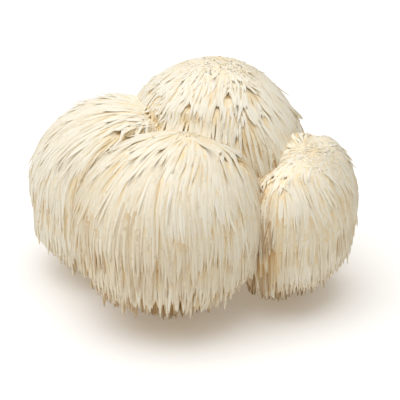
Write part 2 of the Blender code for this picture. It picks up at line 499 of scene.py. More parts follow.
def mean_radius(head):
    return sum(head["radii"]) / 3.0


def heading_vector(heading, height):
    turn = math.radians(heading)
    lift = math.radians(height)
    flat = math.cos(lift)
    return np.array([flat * math.cos(turn), flat * math.sin(turn), math.sin(lift)])


def crown_way(head):
    return heading_vector(head["crown_heading"], 90.0 - head["crown_tilt"])


def whorls(head):
    """The middle, width and strength of each whorl."""
    return [(heading_vector(*place), width, push) for *place, width, push in head["whorls"]]


def pits(head):
    """The middle of each pit."""
    return [heading_vector(*place) for place in head["pits"]]


def steepness(way):
    """Angle from straight up, in degrees."""
    return np.degrees(np.arccos(np.clip(way[:, 2], -1.0, 1.0)))


def apart_degrees(way, hub):
    return np.degrees(np.arccos(np.clip(way @ hub, -1.0, 1.0)))


def bell(way, hub, width):
    """1 at a hub, falling to 0 over a width in degrees."""
    return np.exp(-((apart_degrees(way, hub) / width) ** 2))


def envelope(head, way):
    """Distance in mm from the head's centre to its spine tips, for rows of unit vectors."""
    rx, ry, rz = head["radii"]
    across = np.hypot(way[:, 0] / rx, way[:, 1] / ry)
    along = np.abs(way[:, 2]) / rz
    power = np.where(way[:, 2] >= 0.0, 2.0, head["squareness"])
    reach = (across ** power + along ** power) ** (-1.0 / power)
    for heading, height, rise, width in head["lumps"]:
        apart = np.arccos(np.clip(way @ heading_vector(heading, height), -1.0, 1.0))
        reach = reach * (1.0 + rise * np.exp(-((apart / math.radians(width)) ** 2)))
    return reach


def combed(head, polar, turn):
    """Unit vectors for angles counted from the head's own leaning crown."""
    local = np.stack([
        np.sin(polar) * np.cos(turn),
        np.sin(polar) * np.sin(turn),
        np.cos(polar),
    ], axis=1)
    lean = math.radians(head["crown_tilt"]) * (1.0 + np.cos(polar)) / 2.0
    heading = math.radians(head["crown_heading"])
    toward = np.array([math.cos(heading), math.sin(heading), 0.0])
    along = local @ toward
    cos_lean = np.cos(lean)
    sin_lean = np.sin(lean)
    new_along = along * cos_lean + local[:, 2] * sin_lean
    new_up = local[:, 2] * cos_lean - along * sin_lean
    turned = local + np.outer(new_along - along, toward)
    turned[:, 2] = new_up
    return unit(turned)


def downhill(head, way):
    """Way that spines are combed: away from the crown, whorls and pits, then straight down."""
    crown = crown_way(head)
    near = (1.0 - smooth_step(*head["crown_reach"], apart_degrees(way, crown)))[:, None]
    lifted = crown * near + UP * (1.0 - near)
    flow = unit(-lifted + way * np.sum(lifted * way, axis=1)[:, None])
    for hub, width, push in whorls(head) + [(pit, PIT_REACH, PIT_PUSH) for pit in pits(head)]:
        away = unit(way * (way @ hub)[:, None] - hub)
        flow = flow + away * (push * bell(way, hub, width))[:, None]
    return unit(flow)


def meeting_planes(name, others=tuple(HEADS)):
    """Planes where this head presses on its neighbours: point, outward normal and open depths."""
    own = HEADS[name]
    planes = []
    for other_name in others:
        if other_name == name:
            continue
        other = HEADS[other_name]
        between = head_centre(other) - head_centre(own)
        apart = np.linalg.norm(between)
        along = (apart ** 2 + mean_radius(own) ** 2 - mean_radius(other) ** 2) / (2.0 * apart)
        along += MEETING_SHIFT.get((name, other_name), 0.0)
        along -= MEETING_SHIFT.get((other_name, name), 0.0)
        normal = between / apart
        open_depths = OPEN_BEHIND.get((name, other_name))
        planes.append((head_centre(own) + normal * along, normal, open_depths))
    return planes


def past_plane(points, place, normal, open_depths):
    """How far each point lies past a plane, in mm, or 0 where the plane is open behind."""
    past = (points - place) @ normal
    if open_depths:
        past = np.where(past > 0.0, past * (1.0 - smooth_step(*open_depths, points[:, 1])), past)
    return past


def beyond_planes(points, planes):
    """How far each point lies past the nearest meeting plane, in mm."""
    if not planes:
        return np.full(len(points), NO_NEIGHBOUR)
    return np.max([past_plane(points, *plane) for plane in planes], axis=0)


def groove(name, points):
    """How much lower, as a share, spines lie where a neighbour overhangs this head."""
    lower = np.zeros(len(points))
    for other_name, depth in OVERHANGS[name].items():
        past = beyond_planes(points, meeting_planes(name, [other_name]))
        lower = np.maximum(lower, depth * smooth_step(-GROOVE_WIDTH, 0.0, past))
    return lower


def flesh_share(name, way):
    """How far out the flesh reaches: close to the tips at the crown, tucked in below."""
    head = HEADS[name]
    tucked = smooth_step(head["tuck_from"], FLESH_TUCKED, steepness(way))
    tuck = (FLESH_TOP - FLESH_BOTTOM) * tucked
    near_crown = bell(way, crown_way(head), CROWN_SPREAD * head["crown_size"])
    outer = head_centre(head) + way * envelope(head, way)[:, None]
    return FLESH_TOP - tuck + head["crown_flesh"] * near_crown - FLESH_GROOVE * groove(name, outer)


def spread_roots(name, count, zone, rng):
    """Roots spread evenly up to zone degrees from the crown: angles from it, ways and places."""
    head = HEADS[name]
    planes = meeting_planes(name)
    wanted = count
    golden = math.pi * (1.0 + math.sqrt(5.0))
    drop = 1.0 - math.cos(math.radians(zone))
    for _ in range(ROOT_TRIES):
        index = np.arange(wanted) + 0.5
        polar = np.arccos(np.clip(1.0 - drop * index / wanted, -1.0, 1.0))
        turn = golden * index
        loose = ROOT_LOOSENESS * math.sqrt(2.0 * math.pi * drop / wanted)
        polar = np.abs(polar + rng.uniform(-loose, loose, wanted))
        turn = turn + rng.uniform(-loose, loose, wanted) / np.maximum(np.sin(polar), NARROWEST_TURN)
        way = combed(head, polar, turn)
        roots = head_centre(head) + way * (envelope(head, way) * flesh_share(name, way))[:, None]
        keep = beyond_planes(roots, planes) < NEIGHBOUR_DEPTH
        for pit in pits(head):
            apart = np.radians(apart_degrees(way, pit))
            keep &= apart * np.linalg.norm(roots - head_centre(head), axis=1) > PIT_SIZE
        if keep.sum() >= count * ENOUGH_ROOTS:
            break
        wanted = int(wanted * count / max(keep.sum(), 1))
    return np.degrees(polar[keep][:count]), way[keep][:count], roots[keep][:count]


def pick_locks(roots, count, rng):
    """Share the spines out among locks: each one's leading spine, and 0 to 1 from middle to edge."""
    leaders = rng.choice(len(roots), count, replace=False)
    own = np.empty(len(roots), dtype=int)
    edge = np.empty(len(roots))
    for start in range(0, len(roots), LOCK_BLOCK):
        block = roots[start:start + LOCK_BLOCK]
        gaps = np.linalg.norm(block[:, None, :] - roots[leaders][None, :, :], axis=2)
        near = np.sort(gaps, axis=1)
        own[start:start + LOCK_BLOCK] = leaders[np.argmin(gaps, axis=1)]
        edge[start:start + LOCK_BLOCK] = 2.0 * near[:, 0] / (near[:, 0] + near[:, 1])
    return own, np.clip(edge, 0.0, 1.0)


def root_spines(name, rng):
    """The long spines of a head as they root, outside its fuzz, with the locks they belong to."""
    head = HEADS[name]
    from_crown, way, roots = spread_roots(name, head["spines"], SPINE_ZONE, rng)
    combs = from_crown > head["fuzz"] * rng.uniform(*FUZZ_EDGE, len(from_crown))
    roots = roots[combs]
    lock, edge = pick_locks(roots, LOCKS, rng)
    big_lock, big_edge = pick_locks(roots, BIG_LOCKS, rng)
    return SimpleNamespace(
        count=len(roots),
        from_crown=from_crown[combs],
        way=way[combs],
        angle=steepness(way[combs]),
        roots=roots,
        lock=lock,
        edge=edge,
        big_lock=big_lock,
        big_edge=big_edge,
    )


def degree_length(head):
    """Length in mm of one degree around the head."""
    return math.pi / 180.0 * sum(head["radii"]) / 3.0


def snap_to_tiers(head, angle, wanted):
    """Bring ends to the nearest tier below the root: free above the tiers, far down past the last."""
    tiers = np.array(head["tiers"])
    gap = np.abs(wanted[:, None] - tiers[None, :])
    gap = np.where(tiers[None, :] < angle[:, None] + TIER_CLEAR, np.inf, gap)
    nearest = tiers[np.argmin(gap, axis=1)]
    snapped = (wanted > tiers[0] - TIER_REACH) & np.isfinite(gap.min(axis=1))
    past_last = angle + TIER_CLEAR > tiers[-1]
    wanted = np.where(past_last, LAST_TIER, wanted)
    return np.where(snapped, nearest, wanted)


def end_angles(head, spines, rng):
    """Angle from straight up where each spine ends: in tiers of ragged, pointed locks."""
    natural = rng.uniform(*head["length"], spines.count) / degree_length(head)
    hanging = smooth_step(*HANGING_FROM, spines.angle)
    natural = natural * (head["upper_length"] * (1.0 - hanging) + hanging)
    ends = snap_to_tiers(head, spines.angle, spines.angle + natural)
    ragged = rng.normal(0.0, TIER_JITTER, spines.count)[spines.big_lock]
    ragged = ragged + rng.normal(0.0, LOCK_JITTER, spines.count)[spines.lock]
    ragged = ragged + TIER_WAVE * wander(spines.roots, WAVE_SIZE, head["seed"] + 30)
    pointed = spines.edge ** 2 + POINTED_BIG_LOCK * spines.big_edge ** 2 - POINTED_FROM
    ragged = ragged + rng.normal(0.0, STRAND_JITTER, spines.count) - POINTED_TIP * pointed
    return ends + ragged


def ahead_and_aside(way, hub, flow, reach):
    """How far a hub lies along each spine's way and to the side of it, in mm."""
    apart = (hub - way) * reach
    ahead = np.sum(apart * flow, axis=1)
    return ahead, np.linalg.norm(apart - flow * ahead[:, None], axis=1)


def stop_at_hubs(head, way, length, rng):
    """Spines rooted above a whorl or a pit end where they would run into it."""
    flow = downhill({**head, "whorls": ()}, way)
    reach = mean_radius(head)
    for hub, width, _ in whorls(head):
        ahead, aside = ahead_and_aside(way, hub, flow, reach)
        meets = (ahead > WHORL_CLEAR) & (aside < WHORL_STOP_WIDTH * math.radians(width) * reach)
        stop = np.maximum(ahead + rng.uniform(*WHORL_STOP, len(length)), WHORL_CLEAR)
        length = np.where(meets, np.minimum(length, stop), length)
    for pit in pits(head):
        ahead, aside = ahead_and_aside(way, pit, flow, reach)
        meets = (ahead > 0.0) & (ahead < length) & (aside < PIT_SIZE)
        length = np.where(meets, np.maximum(ahead - PIT_EDGE * PIT_SIZE, SHORTEST), length)
    return length


def spine_lengths(head, spines, tip_angle, rng):
    """Lengths in mm that reach the angles where spines end, and shorter ones at the crown."""
    length = (tip_angle - spines.angle) * degree_length(head) * LENGTH_SLACK + ROOT_DEPTH
    at_crown = rng.uniform(*head["crown_length"], spines.count)
    crown_edge, crown_end = (head["crown_size"] * share for share in CROWN_BODY)
    body = smooth_step(crown_edge, crown_end, spines.from_crown)
    length = np.where(body < 1.0, at_crown * (1.0 - body) + length * body, length)
    length = stop_at_hubs(head, spines.way, length, rng)
    return np.clip(length, SHORTEST, LONGEST_SHARE * head["length"][1])


def tip_tops(name, spines, tip_angle, rng):
    """How far out each spine may reach: locks at their own levels, and lower in the lower tiers."""
    top = rng.uniform(*TIP_TOP, spines.count)
    top = 0.5 * (top[spines.lock] + top[spines.big_lock]) + rng.uniform(*TIP_TOP_JITTER, spines.count)
    top = top + BIG_LOCK_CROWN * (0.5 - spines.big_edge ** 2)
    level = 1.0 - LEVEL_DOME * (1.0 - smooth_step(*LEVEL_UNTIL, tip_angle))
    top = TIP_TOP[0] + (top - TIP_TOP[0]) * level
    hang = np.sin(np.radians(np.clip(tip_angle, *HANGING_ANGLES)))
    top = np.minimum(top, HANGING_TIP * hang + rng.uniform(*HANGING_TIP_JITTER, spines.count))
    top = np.maximum(top, flesh_share(name, spines.way) + FLESH_COVER)
    for step, step_from, step_to in TIER_STEPS:
        top = top - step * smooth_step(step_from, step_to, tip_angle)
    return top


def pick_strays(count, rng):
    """Which spines stand off the rest, and how far their tips flick out, as a share."""
    stray = rng.random(count) < STRAY_SHARE
    flick = np.where(stray, STRAY_RISE * rng.uniform(*STRAY_SPREAD, count), 0.0)
    wisp = rng.random(count) < WISP_SHARE
    flick = np.where(wisp, WISP_RISE * rng.uniform(*WISP_SPREAD, count), flick)
    return stray | wisp, flick


def sideways_sway(head, spines, rng):
    """How far each spine turns from its combing: with its patch and lock, and freely at the crown."""
    sway = rng.normal(0.0, STRAND_SWAY, spines.count)
    sway = sway + PATCH_SWAY * wander(spines.roots, WAVE_SIZE, head["seed"])
    sway = sway + rng.normal(0.0, LOCK_SWAY, spines.count)[spines.lock]
    sway = np.where(spines.stray, sway + rng.normal(0.0, STRAY_SWAY, spines.count), sway)
    crown = head["crown_size"]
    at_crown = 1.0 - smooth_step(SWIRL_FROM * crown, crown, spines.from_crown)
    return sway + rng.normal(0.0, CROWN_SWIRL, spines.count) * at_crown


def follow(name, spines, length):
    """Bend spines from their roots: combed over the dome, then straight down past its brim.

    Gives the places of their rings, the way across each, and the share of its length at which one
    leaves the envelope or reaches the floor.
    """
    head = HEADS[name]
    centre = head_centre(head)
    sideways = np.cross(spines.way, downhill(head, spines.way))
    point = spines.roots.copy()
    rings = [point]
    past = np.full(spines.count, 1.0)
    top = spines.top
    root_top = np.minimum(ROOT_TOP, top - ROOT_UNDER_TIP)
    for before, share in zip(SPINE_RINGS, SPINE_RINGS[1:]):
        way = unit(point - centre)
        angle = steepness(way)
        droop = smooth_step(*BRIM, angle)[:, None]
        lean = (DOME_LEAN * smooth_step(*DOME_LEAN_FROM, angle))[:, None] * (1.0 - droop)
        flow = unit(downhill(head, way) * (1.0 - droop) + DOWN * (droop + lean))
        flow = unit(flow + sideways * (spines.sway[:, None] * (1.0 - HANGING_STEADY * droop)))
        stand = ROOT_STAND * max(0.0, 1.0 - share / ROOT_STAND_UNTIL)
        step = unit(flow * (1.0 - stand) + way * stand) * (length * (share - before))[:, None]
        point = point + step
        way = unit(point - centre)
        reach = envelope(head, way)
        now = np.linalg.norm(point - centre, axis=1) / reach
        flesh = flesh_share(name, way)
        flick = spines.flick * share ** FLICK_BEND
        sunk = 1.0 - spines.dip * smooth_step(DIP_FROM, 1.0, share)
        cap = root_top + (top - root_top) * share ** spines.bend * sunk + flick
        for hub, width, _ in whorls(head):
            cap = cap + WHORL_RISE * bell(way, hub, width)
        lower = groove(name, centre + way * reach[:, None])
        cap = np.maximum(cap - lower, flesh + FLESH_COVER)
        laid = flesh + (cap - flesh) * (1.0 - (1.0 - share) ** ROOT_LIFT)
        loose = droop[:, 0]
        out = (loose > 0.5) & (now > spines.tip + spines.flick)
        past = np.where(out & (past > share), share, past)
        free = np.clip(now, flesh + HANGING_COVER, np.maximum(top, spines.tip) - lower + flick)
        now = laid * (1.0 - loose) + free * loose
        point = centre + way * (reach * now)[:, None]
        low = point[:, 2] < LOWEST_TIP
        past = np.where(low & (past > share), share, past)
        point[:, 2] = np.maximum(point[:, 2], LOWEST_TIP)
        rings.append(point)
    return np.stack(rings, axis=1), sideways, past


def draw_together(lines, own, pull):
    """Draw each spine sideways towards its lock's leading spine, more so near the tip."""
    tangent = unit(np.gradient(lines, axis=1))
    apart = lines[own] - lines
    apart = apart - tangent * np.sum(apart * tangent, axis=2)[:, :, None]
    return lines + apart * pull[:, :, None]


def gather_locks(head, spines, lines, tip_angle, rng):
    """Draw spines into big and small locks: strays not at all, those on the dome a little."""
    along = np.array(SPINE_RINGS)[None, :]
    held = mixed((head["clump"], HANGING_CLUMP), smooth_step(*CLUMPED_FROM, tip_angle))
    held = (np.where(spines.stray, 0.0, 1.0) * held)[:, None]
    lines = draw_together(lines, spines.big_lock, BIG_LOCK_PULL * along ** BIG_LOCK_PULL_BEND * held)
    pull = LOCK_PULL * rng.uniform(*LOCK_PULL_SPREAD, spines.count)[spines.lock][:, None]
    return draw_together(lines, spines.lock, pull * along ** LOCK_PULL_BEND * held)


def hang_spines(name, rng):
    """The long spines of a head, with their centre lines by spine, ring and coordinate in mm."""
    head = HEADS[name]
    spines = root_spines(name, rng)
    tip_angle = end_angles(head, spines, rng)
    length = spine_lengths(head, spines, tip_angle, rng)
    spines.top = tip_tops(name, spines, tip_angle, rng)
    spines.stray, spines.flick = pick_strays(spines.count, rng)
    spines.tip = rng.uniform(*TIP_SHARE, spines.count)
    spines.bend = rng.uniform(*RISE_BEND, spines.count)
    spines.sway = sideways_sway(head, spines, rng)
    dip = head["tip_dip"] * (1.0 - smooth_step(*DIP_UNTIL, tip_angle))
    spines.dip = np.where(spines.stray, 0.0, dip)
    for _ in range(LENGTH_FITS):
        lines, spines.sideways, past = follow(name, spines, length)
        length = length * np.where(past < 1.0, past * FIT_SHARE, 1.0)
    spines.lines = gather_locks(head, spines, lines, tip_angle, rng)
    return spines


def lay_tufts(name, rng):
    """The short tufts about a crown, fewer towards the edge of their zone, with centre lines."""
    head = HEADS[name]
    zone = head["tuft_zone"]
    from_crown, way, roots = spread_roots(name, head["tufts"], zone, rng)
    keep = rng.random(len(roots)) > smooth_step(TUFT_THIN_FROM * zone, zone, from_crown)
    from_crown = from_crown[keep]
    way = way[keep]
    count = len(way)
    centre = head_centre(head)
    edge = smooth_step(TUFT_EDGE_FROM * zone, zone, from_crown)
    flow = downhill(head, way)
    lean = unit(flow * (TUFT_COMBED + edge)[:, None] + TUFT_LEAN * rng.normal(size=(count, 3)))
    heading = unit(lean - way * np.sum(lean * way, axis=1)[:, None])
    length = rng.uniform(*TUFT_LENGTH, count) * (1.0 + TUFT_LONGER * edge)
    rise = rng.uniform(*TUFT_RISE, count)
    tip_height = np.where(rng.random(count) < TUFTS_UP, TUFT_UP_HEIGHT, TUFT_HEIGHTS[-1])
    point = roots[keep]
    rings = [point]
    for before, share, height in zip(TUFT_RINGS, TUFT_RINGS[1:], TUFT_HEIGHTS[1:]):
        turned = unit(heading * (1.0 - TUFT_TURN * share) + flow * TUFT_TURN * share)
        point = point + turned * (length * (share - before))[:, None]
        way_now = unit(point - centre)
        now = flesh_share(name, way_now) + rise * (tip_height if share == 1.0 else height)
        point = centre + way_now * (envelope(head, way_now) * now)[:, None]
        rings.append(point)
    return SimpleNamespace(
        count=count,
        from_crown=from_crown,
        sideways=np.cross(way, flow),
        lines=np.stack(rings, axis=1),
    )


def ordered_faces(bm):
    """The faces as lists of vertex numbers, sorted, because Blender's order differs by run."""
    bm.verts.index_update()
    return sorted([vert.index for vert in face.verts] for face in bm.faces)


def made_anew(bm):
    """The same mesh with its edges and faces in an order that is the same in each run."""
    fresh = bmesh.new()
    verts = [fresh.verts.new(vert.co) for vert in bm.verts]
    for face in ordered_faces(bm):
        fresh.faces.new([verts[index] for index in face])
    bm.free()
    fresh.normal_update()
    return fresh


def spine_template(segments):
    """Corners and faces of one straight spine: a tube with closed ends and rings along Z."""
    bm = bmesh.new()
    bmesh.ops.create_circle(bm, cap_ends=True, segments=SPINE_SIDES, radius=1.0)
    ring = bm.edges[:]
    for _ in range(segments):
        grown = bmesh.ops.extrude_edge_only(bm, edges=ring)["geom"]
        raised = [item for item in grown if isinstance(item, bmesh.types.BMVert)]
        ring = [item for item in grown if isinstance(item, bmesh.types.BMEdge)]
        bmesh.ops.translate(bm, verts=raised, vec=(0.0, 0.0, 1.0))
    bmesh.ops.pointmerge(bm, verts=raised, merge_co=(0.0, 0.0, float(segments)))
    bmesh.ops.recalc_face_normals(bm, faces=bm.faces[:])
    places = np.array([vert.co[:] for vert in bm.verts])
    faces = ordered_faces(bm)
    bm.free()
    return places, faces


def add_object(name, data):
    made = bpy.data.objects.new(name, data)
    bpy.context.scene.collection.objects.link(made)
    return made


def bmesh_to_mesh(name, bm):
    mesh = bpy.data.meshes.new(name)
    bm.to_mesh(mesh)
    bm.free()
    return mesh


def joined_mesh(name, verts, faces):
    """One mesh of all spines: verts by spine, vertex and coordinate, each spine with these faces."""
    count, per_spine, _ = verts.shape
    loops = np.concatenate([np.array(face) for face in faces])
    all_loops = (loops[None, :] + per_spine * np.arange(count)[:, None]).ravel()
    all_sizes = np.tile([len(face) for face in faces], count)
    starts = np.concatenate([[0], np.cumsum(all_sizes)[:-1]])
    mesh = bpy.data.meshes.new(name)
    mesh.vertices.add(count * per_spine)
    mesh.vertices.foreach_set("co", verts.astype(np.float32).ravel())
    mesh.loops.add(len(all_loops))
    mesh.loops.foreach_set("vertex_index", all_loops.astype(np.int32))
    mesh.polygons.add(len(all_sizes))
    mesh.polygons.foreach_set("loop_start", starts.astype(np.int32))
    mesh.update(calc_edges=True)
    mesh.polygons.foreach_set("use_smooth", np.ones(len(all_sizes), dtype=bool))
    return mesh, loops


def set_map(mesh, u, v):
    layer = mesh.uv_layers.new(name="OFBake")
    layer.data.foreach_set("uv", np.stack([u, v], axis=-1).astype(np.float32).ravel())


def spines_mesh(name, centre, spines, rings, radius, tint, shade, softness, inner_shade):
    """All spines as one object, each a flattened tube around its centre line.

    rings are the shares of the length where the tube has a ring, and shade is how far out each
    ring lies, from 0 to 1, painted as shade that is deeper and more ochre further in. softness is
    how far normals turn to the head's own, and the last argument how light the painted shade leaves
    the side towards the head, both for spines that lie and for those that hang.
    """
    places, faces = spine_template(len(rings) - 1)
    ring = np.rint(places[:, 2]).astype(int)
    side = np.arctan2(places[:, 1], places[:, 0]) + math.pi / SPINE_SIDES
    at_tip = ring == len(rings) - 1
    along = np.array(rings)
    lines = spines.lines
    tangent = unit(np.gradient(lines, axis=1))
    sideways = spines.sideways[:, None, :]
    across = unit(sideways - tangent * np.sum(sideways * tangent, axis=2)[:, :, None])
    outward = np.cross(tangent, across)
    way = unit(lines - centre)[:, ring]
    hanging = smooth_step(*LYING_UNTIL, steepness(way.reshape(-1, 3))).reshape(way.shape[:2])
    flatness = mixed(FLATNESS, hanging)
    wide = across[:, ring] * np.cos(side)[None, :, None]
    thick = flatness * np.sin(side)[None, :]
    width = radius[:, None] * np.interp(along, TAPER_AT, TAPER)[None, :]
    offset = wide + outward[:, ring] * thick[:, :, None]
    verts = (lines[:, ring] + offset * width[:, ring][:, :, None]) * MM
    mesh, loops = joined_mesh(name, verts, faces)

    corner_along = along[ring[loops]][None, :]
    faces_out = np.where(at_tip, 0.5, 0.5 + 0.5 * np.sin(side))[loops][None, :]
    grown = smooth_step(*WHITE_FROM, corner_along)
    # Painted shade by depth under the tips, mixed with whitening towards the tips, then more painted
    # shade on the side towards the head
    shade_and_growth = DEPTH_SHADE_WEIGHT * shade[:, ring[loops]] + (1.0 - DEPTH_SHADE_WEIGHT) * grown
    inner_side_shade = mixed(inner_shade, hanging)[:, loops]
    shade_and_growth = shade_and_growth * (inner_side_shade + (1.0 - inner_side_shade) * faces_out)
    in_map = MAP_TINT[0] + MAP_TINT[1] * np.clip(tint, 0.0, 1.0)
    u = in_map[:, None] + SIDE_TINT * np.cos(side[loops])[None, :]
    set_map(mesh, u, MAP_SHADE[0] + MAP_SHADE[1] * shade_and_growth + MAP_LENGTH * corner_along)

    tall = np.sin(side)[None, :] / flatness
    own = wide + outward[:, ring] * tall[:, :, None]
    own = np.where(at_tip[None, :, None], tangent[:, ring], own)
    soft = unit(unit(own) + way * mixed(softness, hanging)[:, :, None])
    mesh.normals_split_custom_set_from_vertices(soft.reshape(-1, 3))
    return add_object(name, mesh)


def tints(name, spines, rng):
    """How tan each spine is: more so at the crown and in patches, and as painted shade low down,
    where heads meet and in clefts.
    """
    head = HEADS[name]
    crown = np.exp(-((spines.from_crown / (head["crown_size"] * CROWN_TAN_SPREAD)) ** 2))
    tint = head["tint"] + head["crown_tan"] * crown + rng.normal(0.0, STRAND_TINT, spines.count)
    tint = tint + PATCH_TINT * wander(spines.lines[:, 0], TINT_PATCH_SIZE, head["seed"] + 50)
    is_ochre = rng.random(spines.count) < OCHRE_SHARE
    ochre = np.where(is_ochre, OCHRE_TINT * rng.uniform(*OCHRE_SPREAD, spines.count), 0.0)
    low = spines.lines[:, -1, 2]
    tint = tint + ochre * smooth_step(*OCHRE_ABOVE, low)
    # Painted shade: tan where heads meet, in the cleft by the floor, near the floor and between the
    # fringe's teeth
    past = beyond_planes(spines.lines[:, -1], meeting_planes(name))
    deep = rng.random(spines.count) < DEEP_STRANDS
    meeting = smooth_step(*MEETING_FROM, past) * smooth_step(*MEETING_BELOW, low)
    tint = tint + np.where(deep, *MEETING_SHADE_TAN) * meeting
    tint = tint + head["low_shade_tan"] * (1.0 - smooth_step(*LOW_SHADE_BELOW, low))
    cleft = smooth_step(*CLEFT_FROM, past) * smooth_step(*CLEFT_BELOW, low)
    tint = tint + np.where(deep, *CLEFT_SHADE_TAN) * cleft
    return tint + np.where(deep, *FRINGE_SHADE_TAN) * (1.0 - smooth_step(*FRINGE_BELOW, low))


def share_of_envelope(name, lines):
    """How far out each ring lies: 1 where the tips end."""
    head = HEADS[name]
    apart = lines - head_centre(head)
    reach = np.linalg.norm(apart, axis=2)
    way = (apart / reach[:, :, None]).reshape(-1, 3)
    outer = envelope(head, way)
    lower = groove(name, head_centre(head) + way * outer[:, None])
    return reach / outer.reshape(reach.shape) + lower.reshape(reach.shape)


def head_spines(name):
    head = HEADS[name]
    rng = np.random.default_rng(head["seed"])
    spines = hang_spines(name, rng)
    spread = rng.uniform(1.0 - RADIUS_SPREAD, 1.0 + RADIUS_SPREAD, spines.count)
    low = 1.0 - smooth_step(*THICKER_BELOW, spines.lines[:, -1, 2])
    radius = head["girth"] * SPINE_RADIUS * spread * (1.0 + LOW_THICKER * low)
    tint = tints(name, spines, rng) + rng.normal(0.0, LOCK_TINT, spines.count)[spines.lock]
    # Painted shade: deeper and more ochre the further a ring lies under the tips
    shade = smooth_step(DEEP_SHARE, OUTER_SHARE, share_of_envelope(name, spines.lines))
    return spines_mesh(
        name + "_spines", head_centre(head), spines, SPINE_RINGS, radius, tint, shade,
        SPINE_SOFTNESS, SPINE_INNER_SHADE,
    )


def head_tufts(name):
    head = HEADS[name]
    rng = np.random.default_rng(head["seed"] + 100)
    tufts = lay_tufts(name, rng)
    radius = TUFT_RADIUS * rng.uniform(1.0 - RADIUS_SPREAD, 1.0 + RADIUS_SPREAD, tufts.count)
    patches = wander(tufts.lines[:, 0], TUFT_PATCH_SIZE, head["seed"] + 70)
    tint = tints(name, tufts, rng) + TUFT_PATCH_TINT * patches
    # Painted shade: each tuft darker and more ochre towards its root, following its heights
    shade = np.tile(np.array(TUFT_HEIGHTS), (tufts.count, 1))
    return spines_mesh(
        name + "_crown_tufts", head_centre(head), tufts, TUFT_RINGS, radius, tint, shade,
        TUFT_SOFTNESS, TUFT_INNER_SHADE,
    )


def pit_nearness(head, way, spread):
    """1 in the middle of each pit, falling to 0 over so many times a pit's size."""
    width = spread * PIT_SIZE
    near = np.zeros(len(way))
    for pit in pits(head):
        apart = np.radians(apart_degrees(way, pit)) * mean_radius(head)
        near = np.maximum(near, np.exp(-((apart / width) ** 2)))
    return near


def map_flesh(mesh, head):
    """Map of the flesh: U runs from 0 to 1 towards a crown that shows, V towards the pits, where the
    flesh is darkened as painted shade.
    """
    places = np.empty(len(mesh.vertices) * 3)
    mesh.vertices.foreach_get("co", places)
    way = unit(places.reshape(-1, 3) / MM - head_centre(head))
    near = bell(way, crown_way(head), CROWN_SPREAD * head["crown_size"])
    near = near * smooth_step(*CROWN_SHOWS, head["crown_flesh"])
    # Painted shade in the pits
    pit_shade = pit_nearness(head, way, PIT_SHADE_SPREAD)
    corner = np.empty(len(mesh.loops), dtype=np.int32)
    mesh.loops.foreach_get("vertex_index", corner)
    start, size = MAP_FLESH
    set_map(mesh, start + size * near[corner], start + size * pit_shade[corner])


def press_flat(bm, place, normal, open_depths):
    """Press what lies past a plane back to it, except behind, where the plane is open."""
    points = np.array([vert.co[:] for vert in bm.verts]) / MM
    past = past_plane(points, place, normal, open_depths)
    for vert, step in zip(bm.verts, np.maximum(past, 0.0)):
        vert.co -= Vector(normal) * (step * MM)


def cut_flat(bm, place, normal):
    """Cut away what lies past a plane, and close the cut."""
    bmesh.ops.bisect_plane(
        bm,
        geom=bm.verts[:] + bm.edges[:] + bm.faces[:],
        plane_co=Vector(place) * MM,
        plane_no=Vector(normal),
        clear_outer=True,
    )
    bmesh.ops.holes_fill(bm, edges=[edge for edge in bm.edges if edge.is_boundary])


def head_flesh(name):
    """The lumpy flesh that the spines grow from, cut where it meets its neighbours."""
    head = HEADS[name]
    centre = head_centre(head)
    bm = bmesh.new()
    around, up = FLESH_SEGMENTS
    bmesh.ops.create_uvsphere(bm, u_segments=around, v_segments=up, radius=1.0)
    bm = made_anew(bm)
    way = unit(np.array([vert.co[:] for vert in bm.verts]))
    near_pits = pit_nearness(head, way, PIT_FINE_SPREAD) > PIT_FINE_FROM
    bm.verts.index_update()
    fine = [edge for edge in bm.edges if any(near_pits[vert.index] for vert in edge.verts)]
    bmesh.ops.subdivide_edges(bm, edges=fine, cuts=PIT_CUTS, use_grid_fill=True)
    way = unit(np.array([vert.co[:] for vert in bm.verts]))
    reach = envelope(head, way) * (flesh_share(name, way) + FLESH_FULLER)
    reach = reach - PIT_DEPTH * pit_nearness(head, way, PIT_DEPTH_SPREAD)
    reach = reach - PIT_DIMPLE * pit_nearness(head, way, PIT_DIMPLE_SPREAD)
    for vert, direction, distance in zip(bm.verts, way, reach):
        place = centre + direction * distance
        bump = sum(noise.noise(Vector(place) * scale) * rise for scale, rise in FLESH_BUMPS)
        place = place + direction * bump
        place[2] = max(place[2], LOWEST_TIP + FLESH_CLEARANCE)
        vert.co = Vector(place) * MM
    for place, normal, open_depths in meeting_planes(name):
        place = place - normal * FLESH_GAP
        if open_depths:
            press_flat(bm, place, normal, open_depths)
        else:
            cut_flat(bm, place, normal)
    bmesh.ops.recalc_face_normals(bm, faces=bm.faces[:])
    mesh = bmesh_to_mesh(name + "_flesh", bm)
    mesh.shade_smooth()
    map_flesh(mesh, head)
    return add_object(name + "_flesh", mesh)


def new_material(name, roughness):
    """A material with its node tree and its shader."""
    material = bpy.data.materials.new(name)
    material.use_nodes = True
    shader = material.node_tree.nodes["Principled BSDF"]
    shader.inputs["Roughness"].default_value = roughness
    return material, material.node_tree, shader


def ramp(tree, stops, fac):
    """Colours along a value, from stops that are given in order of their places."""
    node = tree.nodes.new("ShaderNodeValToRGB")
    band = node.color_ramp
    band.interpolation = "EASE"
    band.elements[0].position = stops[0][0]
    band.elements[1].position = stops[-1][0]
    for place, _ in stops[1:-1]:
        band.elements.new(place)
    for element, (_, colour) in zip(band.elements, stops):
        element.color = (*colour, 1.0)
    tree.links.new(fac, node.inputs["Fac"])
    return node.outputs["Color"]


